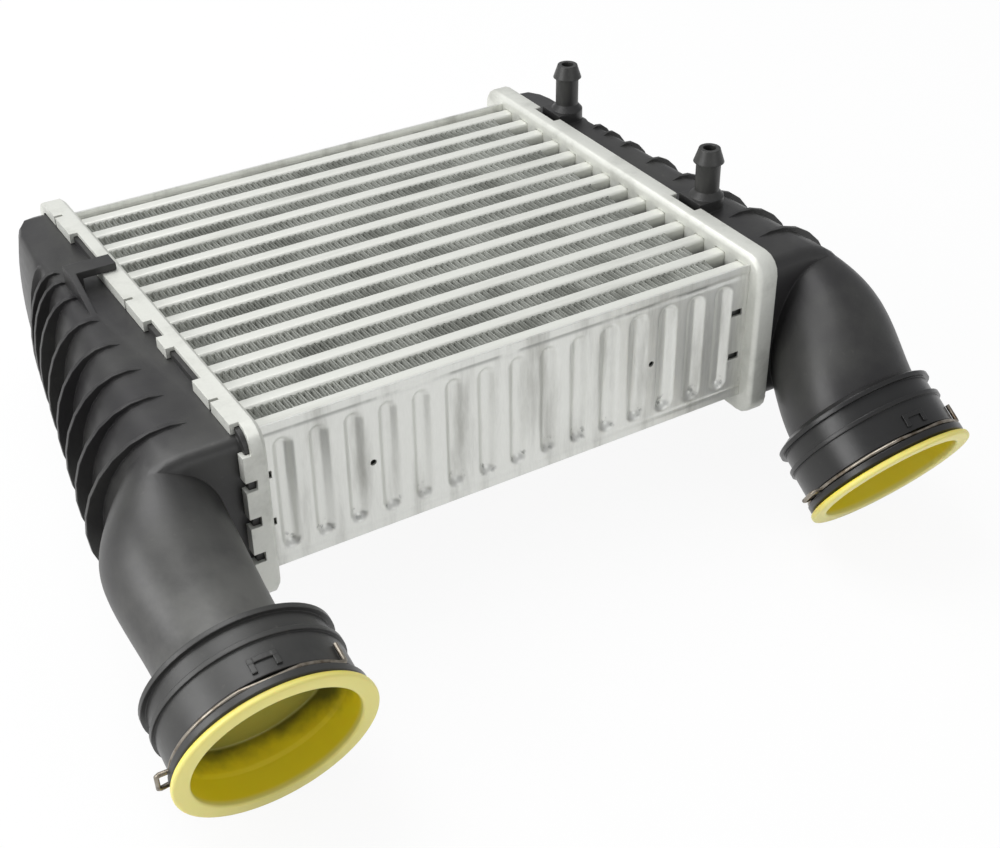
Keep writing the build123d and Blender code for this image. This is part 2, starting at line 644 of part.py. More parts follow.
def make_seal(side):
    """Ring seal on the socket's inner shoulder."""
    outer = SOCKET_RADIUS - PLUG_CLEARANCE / 2
    middle = outer - SEAL_WIDTH / 2
    return spun(
        side,
        [
            (outer, SOCKET_END),
            (outer - SEAL_WIDTH, SOCKET_END),
            (outer - SEAL_WIDTH, SOCKET_END - SEAL_THICKNESS / 2),
            (middle, SOCKET_END - SEAL_THICKNESS),
            (outer, SOCKET_END - SEAL_THICKNESS / 2),
        ],
    )


def make_plug(side):
    """Transport plug: a flange on the socket's lip and a stepped cup."""
    inner = PLUG_RADIUS - PLUG_WALL
    return spun(
        side,
        [
            (inner, 0),
            (PLUG_FLANGE_RADIUS, 0),
            (PLUG_FLANGE_RADIUS, PLUG_FLANGE_THICKNESS),
            (PLUG_RADIUS, PLUG_FLANGE_THICKNESS),
            (PLUG_RADIUS, PLUG_DEPTH),
            (0, PLUG_DEPTH),
            (0, PLUG_DEPTH - PLUG_WALL),
            (inner - PLUG_STEP, PLUG_DEPTH - PLUG_WALL),
            (inner - PLUG_STEP, PLUG_STEP_DEPTH),
            (inner, PLUG_STEP_DEPTH),
        ],
    )


def make_clip(side):
    """Spring-wire clip: hooked ends, two straight stretches and a loop."""
    hook = COLLAR_RADIUS + WIRE_RADIUS + WIRE_CLEARANCE
    crest = CLIP_SEAT + LOOP_RISE
    half = slot_half_angle()
    slots = sorted(slot_angles())
    ends = (CLIP_MIDDLE - CLIP_HALF_SPAN, CLIP_MIDDLE + CLIP_HALF_SPAN)
    loop = (CLIP_MIDDLE - LOOP_HALF_ANGLE, CLIP_MIDDLE + LOOP_HALF_ANGLE)

    def at(angle, radius=CLIP_SEAT):
        return Vector(radius * cos(radians(angle)), radius * sin(radians(angle)))

    def bend(first, last):
        count = int((last - first) / WIRE_STEP) + 2
        return [at(angle) for angle in spread(first, last, count)]

    points = [at(ends[0], hook)]
    points += bend(ends[0] + CLIP_LEAD, slots[0] - half)
    points += bend(slots[0] + half, loop[0])
    points += [at(loop[0], crest), at(loop[1], crest)]
    points += bend(loop[1], slots[1] - half)
    points += bend(slots[1] + half, ends[1] - CLIP_LEAD)
    points += [at(ends[1], hook)]
    wire = Wire(Polyline(*points).edges())
    section = RegularPolygon(WIRE_RADIUS, WIRE_SIDES)
    start = Plane(wire @ 0, z_dir=wire % 0)
    clip = sweep(start * section, path=wire, transition=Transition.RIGHT)
    for angle in ends:
        foot = at(angle, hook)
        clip += extrude(Plane(foot + Vector(0, 0, WIRE_RADIUS), z_dir=(0, 0, -1)) * section, HOOK_LENGTH)
    return port_plane(side, WIRE_STATION) * clip


# All nodes


def make_nodes():
    """Every physical piece by name."""
    nodes = {}
    for index, y in enumerate(tube_row(TUBES), start=1):
        nodes[f"tube_{index:02d}"] = make_tube(y)
        nodes[f"turbulator_{index:02d}"] = make_turbulator(y)
    for index, y in enumerate(tube_row(TUBES - 1), start=1):
        nodes[f"fin_{index:02d}"] = make_fin(y)
    nodes["front_side_plate"] = make_side_plate(-1)
    nodes["back_side_plate"] = make_side_plate(1)
    for side, name in ((-1, "left"), (1, "right")):
        nodes[f"{name}_header"] = make_header(side)
        nodes[f"{name}_gasket"] = make_gasket(side)
        nodes[f"{name}_tank"] = make_tank(side)
        nodes[f"{name}_port_seal"] = make_seal(side)
        nodes[f"{name}_wire_clip"] = make_clip(side)
        nodes[f"{name}_plug"] = make_plug(side)
    return nodes


os.makedirs("parts", exist_ok=True)
for node_name, shape in make_nodes().items():
    export_step(shape, f"parts/{node_name}.step")
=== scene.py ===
"""Looks of a side-mounted intercooler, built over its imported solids.

The fins, tubes, side plates, header plates, end tanks, spring clips and transport plugs
get finer meshes, a small raised frame stands on each collar, and every piece gets a
procedural finish. Lengths are in metres, but for the rim spans of the header plates,
which are in millimetres.
"""

import json
import logging
from dataclasses import dataclass, field
from enum import Enum
from math import acos, ceil, cos, pi, radians, sin
from typing import Any, Callable, Sequence, Union

import bmesh
import bpy
from bmesh.types import BMesh, BMFace
from bpy.types import ID, Material, Mesh, Node, NodeSocket, NodeTree, Object
from mathutils import Matrix, Vector


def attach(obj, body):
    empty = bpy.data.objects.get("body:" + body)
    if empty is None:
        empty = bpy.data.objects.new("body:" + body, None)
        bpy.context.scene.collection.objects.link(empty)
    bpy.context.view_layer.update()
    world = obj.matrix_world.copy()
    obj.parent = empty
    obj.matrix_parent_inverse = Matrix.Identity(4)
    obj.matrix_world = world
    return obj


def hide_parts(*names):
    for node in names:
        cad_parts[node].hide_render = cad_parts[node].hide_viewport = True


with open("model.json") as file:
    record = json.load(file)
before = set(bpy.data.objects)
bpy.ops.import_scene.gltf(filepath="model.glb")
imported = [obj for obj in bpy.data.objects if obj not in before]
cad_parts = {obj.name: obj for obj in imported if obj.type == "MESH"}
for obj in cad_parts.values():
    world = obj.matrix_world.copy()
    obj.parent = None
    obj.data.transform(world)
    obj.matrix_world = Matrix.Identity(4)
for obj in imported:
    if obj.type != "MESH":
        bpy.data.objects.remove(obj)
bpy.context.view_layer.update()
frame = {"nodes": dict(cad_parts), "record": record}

log = logging.getLogger("intercooler")

MM = 0.001
BODY = "root"
MID_DEPTH = 31.0 * MM
RIB_PITCH = 13.9 * MM
RIB_SHIFT = -2.1 * MM
CREASE = 27.0 * MM
JOIN = 0.01 * MM
Number = Union[float, "Signal"]
Pair = tuple[float, float]
Triple = tuple[float, float, float]
Colour = Union[Triple, NodeSocket]


class Side(Enum):
    """The two ends of the core."""

    LEFT = -1
    RIGHT = 1

    @property
    def label(self) -> str:
        """Name of the side as the nodes write it."""
        return self.name.lower()


# Node trees


class Signal:
    """A socket that takes part in Python arithmetic."""

    def __init__(self, graph: "Graph", socket: NodeSocket) -> None:
        """Wraps a socket of a graph."""
        self.graph = graph
        self.socket = socket

    def __add__(self, other: Number) -> "Signal":
        """Sum."""
        return self.graph.math("ADD", self, other)

    def __radd__(self, other: Number) -> "Signal":
        """Sum with a number on the left."""
        return self.graph.math("ADD", other, self)

    def __sub__(self, other: Number) -> "Signal":
        """Difference."""
        return self.graph.math("SUBTRACT", self, other)

    def __rsub__(self, other: Number) -> "Signal":
        """Difference from a number on the left."""
        return self.graph.math("SUBTRACT", other, self)

    def __mul__(self, other: Number) -> "Signal":
        """Product."""
        return self.graph.math("MULTIPLY", self, other)

    def __rmul__(self, other: Number) -> "Signal":
        """Product with a number on the left."""
        return self.graph.math("MULTIPLY", other, self)

    def __truediv__(self, other: Number) -> "Signal":
        """Quotient."""
        return self.graph.math("DIVIDE", self, other)

    def __abs__(self) -> "Signal":
        """Size without its sign."""
        return self.graph.math("ABSOLUTE", self)


class Graph:
    """Adds and links the nodes of one tree, for a material or for geometry."""

    def __init__(self, tree: NodeTree, prefix: str) -> None:
        """Keeps the tree and the type prefix of its own nodes."""
        self.tree = tree
        self.prefix = prefix

    def node(self, kind: str, settings: dict[str, Any] | None = None, **inputs: Any) -> Node:
        """Adds a node.

        Args:
            kind: type name, without the prefix where it is the tree's own.
            settings: attributes to set before the inputs.
            inputs: values or links by socket name, spaces written as _,
                or by index written as i0, i1 and so on.

        Returns:
            The new node.
        """
        is_full = kind.startswith(("Shader", "Geometry"))
        made = self.tree.nodes.new(kind if is_full else self.prefix + kind)
        for key, value in (settings or {}).items():
            setattr(made, key, value)
        for key, value in inputs.items():
            is_index = key[0] == "i" and key[1:].isdigit()
            socket = made.inputs[int(key[1:])] if is_index else made.inputs[key.replace("_", " ")]
            self.feed(socket, value)
        return made

    def feed(self, socket: NodeSocket, value: Any) -> None:
        """Sets a socket, or links a signal, socket or node to it."""
        if isinstance(value, Signal):
            self.tree.links.new(value.socket, socket)
        elif isinstance(value, NodeSocket):
            self.tree.links.new(value, socket)
        elif isinstance(value, Node):
            self.tree.links.new(value.outputs[0], socket)
        else:
            socket.default_value = value

    def math(self, operation: str, *values: Number) -> Signal:
        """Adds a Math node and returns its result."""
        made = self.node("ShaderNodeMath", {"operation": operation})
        for socket, value in zip(made.inputs, values):
            self.feed(socket, value)
        return Signal(self, made.outputs[0])

    def ramp(self, value: Number, low: Number, high: Number) -> Signal:
        """Eased step of a signal.

        Args:
            value: signal to map.
            low: where the result is 0.
            high: where it is 1.

        Returns:
            The mapped signal, clamped.
        """
        made = self.node("ShaderNodeMapRange", {"interpolation_type": "SMOOTHSTEP", "clamp": True},
                         Value=value, From_Min=low, From_Max=high)
        return Signal(self, made.outputs[0])


class Paint(Graph):
    """The node tree of a material, with the nodes that finishes share."""

    def __init__(self, name: str) -> None:
        """Makes the material and clears its tree."""
        self.material = bpy.data.materials.new(name)
        self.material.use_nodes = True
        super().__init__(self.material.node_tree, "ShaderNode")
        self.tree.nodes.clear()
        self.place = self.node("TexCoord").outputs["Object"]

    def scaled(self, factors: Triple) -> NodeSocket:
        """Object coordinates times a factor along each axis."""
        made = self.node("VectorMath", {"operation": "MULTIPLY"}, i0=self.place, i1=factors)
        return made.outputs[0]

    def noise(self, scale: float, detail: float, stretch: Triple = (1.0, 1.0, 1.0),
              roughness: float = 0.5) -> Signal:
        """Noise over Object coordinates.

        Args:
            scale: repeats per metre.
            detail: number of finer layers.
            stretch: factor along each axis.
            roughness: weight of the finer layers.

        Returns:
            The noise, around 0.5.
        """
        place = self.place if stretch == (1.0, 1.0, 1.0) else self.scaled(stretch)
        made = self.node("TexNoise", Vector=place, Scale=scale, Detail=detail, Roughness=roughness)
        return Signal(self, made.outputs[0])

    def coordinate(self, axis: str) -> Signal:
        """One of the Object coordinates."""
        return Signal(self, self.node("SeparateXYZ", Vector=self.place).outputs[axis])

    def along(self, point: Vector, axis: Vector) -> Signal:
        """Distance from a point along an axis."""
        arm = self.node("VectorMath", {"operation": "SUBTRACT"}, i0=self.place, i1=tuple(point))
        dot = self.node("VectorMath", {"operation": "DOT_PRODUCT"}, i0=arm, i1=tuple(axis))
        return Signal(self, dot.outputs["Value"])

    def blend(self, factor: Number, first: Colour, second: Colour) -> NodeSocket:
        """Mixes two colours by a factor and returns the colour socket."""
        made = self.node("ShaderNodeMix", {"data_type": "RGBA", "clamp_factor": True})
        self.feed(made.inputs[0], factor)
        for index, colour in ((6, first), (7, second)):
            is_plain = isinstance(colour, tuple)
            self.feed(made.inputs[index], (*colour, 1.0) if is_plain else colour)
        return made.outputs[2]

    def rounded(self, radius: float) -> Node:
        """Normal that rounds sharp edges by a radius."""
        return self.node("Bevel", {"samples": 4}, Radius=radius)

    def bump(self, height: Number, depth: float, strength: float = 1.0,
             before: Node | None = None) -> Node:
        """Bump node of a height signal; depth is its full height in metres."""
        made = self.node("Bump", Height=height, Distance=depth, Strength=strength)
        if before is not None:
            self.feed(made.inputs["Normal"], before)
        return made

    def finish(self, colour: NodeSocket, roughness: Number, metallic: float, normal: Node | None,
               **constants: float) -> Material:
        """Closes the tree with a Principled shader.

        Args:
            colour: colour socket.
            roughness: number or signal.
            metallic: number.
            normal: node that gives the normal, if any.
            constants: other sockets by name, spaces written as _.

        Returns:
            The material.
        """
        shader = self.node("BsdfPrincipled", Base_Color=colour, Roughness=roughness,
                           Metallic=metallic, **constants)
        if normal is not None:
            self.feed(shader.inputs["Normal"], normal)
        return self.close(shader)

    def close(self, shader: Node) -> Material:
        """Links a shader to the output and returns the material."""
        self.node("OutputMaterial", Surface=shader)
        return self.material


def srgb(red: int, green: int, blue: int) -> Triple:
    """Linear colour from display values of 0 to 255."""
    def linear(value: int) -> float:
        """Linear value of one channel."""
        share = value / 255
        return share / 12.92 if share <= 0.04045 else ((share + 0.055) / 1.055) ** 2.4
    return linear(red), linear(green), linear(blue)


# Finishes


@dataclass(frozen=True)
class MouldedNylon:
    """Glass-filled nylon: dark, with a faint cloudy sheen and a fine grain.

    A duct may be paler, partly chalky with handling and partly painted sheen, and its collar is painted
    darker as painted shade.
    """

    name: str
    mouth: Vector
    outward: Vector
    chalk_and_sheen: float
    dark: Triple = srgb(33, 32, 33)
    light: Triple = srgb(52, 52, 50)
    dust: Triple = srgb(104, 102, 96)
    chalk_and_sheen_tone: Triple = srgb(116, 116, 112)
    collar: Triple = srgb(20, 20, 20)
    collar_end: float = 31.0 * MM
    collar_fade: float = 3.0 * MM
    duct_end: float = 62.0 * MM
    duct_fade: float = 30.0 * MM
    clouds: float = 26.0
    specks: float = 420.0
    grain: float = 1900.0
    grain_depth: float = 0.06 * MM
    grain_strength: float = 0.35
    cloud_spread: Pair = (0.32, 0.70)
    duct_spread: Pair = (0.2, 0.7)
    dust_spread: Pair = (0.45, 0.75)
    speck_spread: Pair = (0.62, 0.80)
    dust_share: float = 0.35
    collar_shade_share: float = 0.75
    roughness: float = 0.30
    edge: float = 0.6 * MM

    def material(self) -> Material:
        """Builds the material."""
        paint = Paint(self.name)
        cloud = paint.noise(self.clouds, 5.0, roughness=0.6)
        speck = paint.noise(self.specks, 2.0)
        station = paint.along(self.mouth, -self.outward)
        body = paint.blend(paint.ramp(cloud, *self.cloud_spread), self.dark, self.light)
        # Painted sheen and chalk: the duct is lightened towards a paler tone.
        duct = paint.ramp(station, self.duct_end + self.duct_fade, self.duct_end - self.duct_fade)
        duct = duct * paint.ramp(cloud, *self.duct_spread)
        body = paint.blend(duct * self.chalk_and_sheen, body, self.chalk_and_sheen_tone)
        # Painted shade: the collar is painted darker than the rest of the moulding.
        collar = paint.ramp(station, self.collar_end + self.collar_fade, self.collar_end)
        body = paint.blend(collar * self.collar_shade_share, body, self.collar)
        dusty = paint.ramp(speck, *self.speck_spread) * paint.ramp(cloud, *self.dust_spread)
        colour = paint.blend(dusty * self.dust_share, body, self.dust)
        grain = paint.noise(self.grain, 2.0)
        rough = self.roughness + cloud * 0.16 + speck * 0.08 - collar * 0.08
        rough = rough + duct * (0.12 * self.chalk_and_sheen)
        normal = paint.bump(grain, self.grain_depth, self.grain_strength, paint.rounded(self.edge))
        return paint.finish(colour, rough, 0.0, normal, Specular_IOR_Level=0.55)


@dataclass(frozen=True)
class BrazedAluminium:
    """Sheet that went through the brazing furnace: pale, matt, a little stained."""

    name: str
    pale: Triple
    stained: Triple
    streak: Triple = (1.0, 1.0, 1.0)
    stain_scale: float = 40.0
    stain_spread: Pair = (0.45, 0.80)
    roughness: float = 0.42
    metallic: float = 0.55
    grain: float = 700.0
    grain_depth: float = 0.05 * MM
    grain_strength: float = 0.4
    edge: float = 0.4 * MM

    def material(self) -> Material:
        """Builds the material."""
        paint = Paint(self.name)
        stain = paint.noise(self.stain_scale, 6.0, self.streak, 0.6)
        fine = paint.noise(self.grain, 3.0, self.streak)
        mask = paint.ramp(stain, *self.stain_spread)
        colour = self.add_painted_shade_and_marks(paint, paint.blend(mask * 0.8 + fine * 0.2, self.pale, self.stained))
        rough = self.roughness - 0.08 + mask * 0.14 + fine * 0.12
        normal = paint.bump(fine, self.grain_depth, self.grain_strength, paint.rounded(self.edge))
        return paint.finish(colour, rough, self.metallic, normal)

    def add_painted_shade_and_marks(self, paint: Paint, colour: NodeSocket) -> NodeSocket:
        """Colour with painted shade and marks added; plain sheet has none."""
        return colour


@dataclass(frozen=True)
class PressedAluminium(BrazedAluminium):
    """Sheet of the side plates, with painted shade along its creases and darker marks at the ribs' feet.
    """

    crease_shade_and_mark_tone: Triple = srgb(120, 121, 118)
    crease: float = CREASE + 0.2 * MM
    crease_width: float = 1.3 * MM
    foot: float = 21.5 * MM
    foot_width: float = 4.0 * MM
    rib_half: float = 4.4 * MM
    patches: float = 55.0
    patch_spread: Pair = (0.44, 0.58)
    spots: float = 330.0
    spot_spread: Pair = (0.56, 0.68)
    crease_shade_share: float = 0.6
    mark_share: float = 0.7

    def add_painted_shade_and_marks(self, paint: Paint, colour: NodeSocket) -> NodeSocket:
        """Adds painted shade along the creases and the dark marks at the ribs' feet."""
        height = paint.coordinate("Z") - MID_DEPTH
        patch = paint.noise(self.patches, 4.0, (1.0, 0.2, 0.2))
        spot = paint.noise(self.spots, 3.0)
        # Painted shade: a dark, broken line along the crease.
        line = paint.ramp(abs(height - self.crease), self.crease_width, 0.0)
        line = line * paint.ramp(patch, *self.patch_spread) * self.crease_shade_share
        along = (paint.coordinate("X") - RIB_SHIFT) / RIB_PITCH
        across = abs(along - paint.math("ROUND", along)) * RIB_PITCH
        near = paint.ramp(abs(height + self.foot), self.foot_width, 0.0)
        near = near * paint.ramp(across, self.rib_half, self.rib_half * 0.6)
        mark = near * paint.ramp(spot, *self.spot_spread) * self.mark_share
        # One dark tone serves both the painted crease shade and the marks at the ribs' feet.
        return paint.blend(paint.math("MAXIMUM", line, mark), colour, self.crease_shade_and_mark_tone)


@dataclass(frozen=True)
class CoreAluminium(BrazedAluminium):
    """Tubes and header plates, with painted shade in the depth of the core."""

    shade: Triple = srgb(128, 130, 127)
    full: float = 27.0 * MM
    deep: float = 21.0 * MM
    half: float = 94.0 * MM
    fade: float = 1.0 * MM

    def add_painted_shade_and_marks(self, paint: Paint, colour: NodeSocket) -> NodeSocket:
        """Paints shade over what lies between the side plates and under the core's face."""
        height = abs(paint.coordinate("Z") - MID_DEPTH)
        deep = paint.ramp(height, self.full, self.deep)
        between = paint.ramp(abs(paint.coordinate("Y")), self.half + self.fade, self.half)
        # Painted shade: darker deep in the core, between the side plates.
        return paint.blend(deep * between, colour, self.shade)


@dataclass(frozen=True)
class SoftPolyethylene:
    """Yellow plug plastic: a pale flange, and a cup with painted light and shade that darkens unevenly
    with depth and towards its top.
    """

    name: str
    mouth: Vector
    outward: Vector
    upward: Vector
    flange: Triple = srgb(232, 222, 128)
    lit: Triple = srgb(236, 214, 30)
    shaded: Triple = srgb(96, 92, 22)
    floor: Triple = srgb(158, 152, 66)
    rim_depth: Pair = (0.6 * MM, 3.0 * MM)
    wall_depth: Pair = (5.0 * MM, 16.0 * MM)
    floor_depth: Pair = (20.5 * MM, 22.0 * MM)
    tilt: float = 0.25
    swirls: float = 150.0
    waver: float = 7.0 * MM
    swirl_depth: float = 0.25 * MM

    def material(self) -> Material:
        """Builds the material."""
        paint = Paint(self.name)
        depth = paint.along(self.mouth, -self.outward)
        height = paint.along(self.mouth, self.upward)
        swirl = paint.noise(self.swirls, 4.0)
        warped = depth + height * self.tilt + (swirl - 0.5) * self.waver
        # Painted light and shade: the wall is lit low and shaded high and deep, and the floor is lighter
        # again.
        cup = paint.blend(paint.ramp(warped, *self.wall_depth), self.lit, self.shaded)
        cup = paint.blend(paint.ramp(depth, *self.floor_depth), cup, self.floor)
        colour = paint.blend(paint.ramp(depth, *self.rim_depth), self.flange, cup)
        normal = paint.bump(swirl, self.swirl_depth, 0.3)
        return paint.finish(colour, 0.34 + swirl * 0.14, 0.0, normal, Subsurface_Weight=0.15,
                            Subsurface_Scale=2 * MM)


@dataclass(frozen=True)
class PatchyFinish:
    """Two tones in soft patches, with a grain where its scale isn't 0."""

    name: str
    first: Triple
    second: Triple
    patches: float
    spread: Pair
    roughness: float
    metallic: float
    rough_gain: float = 0.15
    grain: float = 0.0
    grain_detail: float = 1.0
    grain_depth: float = 0.02 * MM
    grain_strength: float = 0.4

    def material(self) -> Material:
        """Builds the material."""
        paint = Paint(self.name)
        patch = paint.noise(self.patches, 4.0)
        colour = paint.blend(paint.ramp(patch, *self.spread), self.first, self.second)
        normal = None
        if self.grain > 0:
            fine = paint.noise(self.grain, self.grain_detail)
            normal = paint.bump(fine, self.grain_depth, self.grain_strength)
        return paint.finish(colour, self.roughness + patch * self.rough_gain, self.metallic, normal)


# The fin foil's tones are painted darker than the tube sheet, as painted shade in the folded rows between
# the tubes.
FIN_FOIL = PatchyFinish("fin_foil", srgb(150, 152, 146), srgb(110, 112, 106), 60.0, (0.35, 0.7),
                        0.48, 0.5, rough_gain=0.1)
SPRING_WIRE = PatchyFinish("spring_wire", srgb(150, 143, 132), srgb(96, 84, 70), 260.0, (0.4, 0.75),
                           0.30, 0.9, grain=3000.0)
SEAL_RUBBER = PatchyFinish("seal_rubber", srgb(34, 34, 35), srgb(58, 58, 58), 120.0, (0.4, 0.8),
                           0.62, 0.0, grain=1500.0, grain_detail=2.0, grain_depth=0.05 * MM,
                           grain_strength=0.5)


# Mesh helpers


def add_object(name: str, data: ID) -> Object:
    """Links a new object that holds a mesh, curve, camera or lamp, at the origin."""
    made = bpy.data.objects.new(name, data)
    bpy.context.scene.collection.objects.link(made)
    return made


def dress(piece: Object, material: Material) -> None:
    """Gives a piece one material in every slot."""
    if not piece.material_slots:
        piece.data.materials.append(material)
    for slot in piece.material_slots:
        slot.material = material


def evaluated_mesh(piece: Object) -> Mesh:
    """Plain mesh of a piece as its modifiers or its bevel make it."""
    graph = bpy.context.evaluated_depsgraph_get()
    return bpy.data.meshes.new_from_object(piece.evaluated_get(graph))


def bake(piece: Object) -> None:
    """Replaces a piece's mesh by its evaluated one and drops its modifiers."""
    mesh = evaluated_mesh(piece)
    piece.modifiers.clear()
    piece.data = mesh


def smooth(mesh: Mesh, angle: float = 35.0) -> None:
    """Shades a mesh smooth, except over edges sharper than an angle."""
    for face in mesh.polygons:
        face.use_smooth = True
    mesh.set_sharp_from_angle(angle=radians(angle))


def mesh_from(name: str, build: Callable[[BMesh], None]) -> Object:
    """Makes an object whose mesh a function fills.

    Args:
        name: name of the object and its mesh.
        build: function that adds geometry to an empty BMesh.

    Returns:
        The linked object.
    """
    shape = bmesh.new()
    build(shape)
    bmesh.ops.remove_doubles(shape, verts=shape.verts, dist=1e-7)
    bmesh.ops.recalc_face_normals(shape, faces=shape.faces)
    mesh = bpy.data.meshes.new(name)
    shape.to_mesh(mesh)
    shape.free()
    return add_object(name, mesh)


def joined_copy(node: str, flat_angle: float = 0.0) -> Mesh:
    """Copy of a CAD node's mesh with its triangles joined.

    Args:
        node: name of the node.
        flat_angle: degrees up to which faces become one, 0 to keep all.

    Returns:
        The new mesh, with its normals outwards.
    """
    shape = bmesh.new()
    shape.from_mesh(frame["nodes"][node].data)
    bmesh.ops.remove_doubles(shape, verts=shape.verts, dist=JOIN)
    if flat_angle > 0:
        bmesh.ops.dissolve_limit(shape, angle_limit=radians(flat_angle), verts=shape.verts,
                                 edges=shape.edges)
    bmesh.ops.recalc_face_normals(shape, faces=shape.faces)
    shape.verts.index_update()
    corners = [tuple(vertex.co) for vertex in shape.verts]
    faces = [[vertex.index for vertex in face.verts] for face in shape.faces]
    shape.free()
    mesh = bpy.data.meshes.new(node)
    mesh.from_pydata(corners, [], faces)
    return mesh


@dataclass
class Port:
    """The socket's axis on one tank, and points about it."""

    side: Side
    origin: Vector
    drop: float

    @property
    def outward(self) -> Vector:
        """Direction out of the mouth."""
        return Vector((0.0, -cos(radians(self.drop)), -sin(radians(self.drop))))

    @property
    def upward(self) -> Vector:
        """Direction across the axis, away from the floor."""
        return Vector((0.0, -sin(radians(self.drop)), cos(radians(self.drop))))

    def at(self, radius: float, angle: float, station: float) -> Vector:
        """Point about the axis.

        Args:
            radius: distance from the axis.
            angle: degrees from +X towards up.
            station: distance behind the mouth.

        Returns:
            The point in the row's frame.
        """
        across = Vector((1.0, 0.0, 0.0)) * cos(radians(angle)) + self.upward * sin(radians(angle))
        return self.origin + across * radius - self.outward * station


PORTS = {
    Side.LEFT: Port(Side.LEFT, Vector((-145.7, -182.0, 4.2)) * MM, 17.2),
    Side.RIGHT: Port(Side.RIGHT, Vector((138.3, -158.2, -17.5)) * MM, 32.5),
}
# Share of the paler duct tone, part chalk and part painted sheen, on each side.
CHALK_AND_SHEEN = {Side.LEFT: 0.65, Side.RIGHT: 0.0}


class FieldTree:
    """A Geometry Nodes tree with named inputs, applied to a piece."""

    def __init__(self, name: str) -> None:
        """Makes the tree with its geometry output."""
        self.tree = bpy.data.node_groups.new(name, "GeometryNodeTree")
        self.graph = Graph(self.tree, "GeometryNode")
        self.tree.interface.new_socket("Geometry", in_out="OUTPUT", socket_type="NodeSocketGeometry")
        self.values: dict[str, Any] = {}
        self.source = self.tree.nodes.new("NodeGroupInput")

    def size(self, name: str, value: float | int) -> Signal:
        """Adds a named input with its value and returns its signal."""
        kind = "NodeSocketInt" if isinstance(value, int) else "NodeSocketFloat"
        socket = self.tree.interface.new_socket(name, in_out="INPUT", socket_type=kind)
        self.values[socket.identifier] = value
        return Signal(self.graph, self.source.outputs[name])

    def vector(self, x: Number = 0.0, y: Number = 0.0, z: Number = 0.0) -> Node:
        """Vector of three numbers or signals."""
        return self.graph.node("ShaderNodeCombineXYZ", X=x, Y=y, Z=z)

    def stack(self, item: Node, count: Signal, pitch: Signal) -> NodeSocket:
        """Copies of an item in a centred row along Y.

        Args:
            item: node that gives the item.
            count: number of copies.
            pitch: distance between two of them.

        Returns:
            The copies.
        """
        start = self.vector(0.0, (count - 1) * pitch * -0.5, 0.0)
        places = self.graph.node("MeshLine", Count=count, Start_Location=start,
                                 Offset=self.vector(0.0, pitch, 0.0))
        return self.graph.node("InstanceOnPoints", Points=places, Instance=item).outputs[0]

    def make(self, name: str, geometry: NodeSocket, material: Material) -> Object:
        """Closes the tree and turns its result into a plain mesh.

        Args:
            name: name of the object.
            geometry: socket that gives the finished geometry.
            material: material that the tree sets.

        Returns:
            The object, with no modifier left.
        """
        real = self.graph.node("RealizeInstances", Geometry=geometry)
        painted = self.graph.node("SetMaterial", Geometry=real, Material=material)
        output = self.tree.nodes.new("NodeGroupOutput")
        self.graph.feed(output.inputs[0], painted)
        piece = add_object(name, bpy.data.meshes.new(name))
        modifier = piece.modifiers.new("build", "NODES")
        modifier.node_group = self.tree
        for identifier, value in self.values.items():
            modifier[identifier] = value
        bake(piece)
        dress(piece, material)
        return piece


# Core


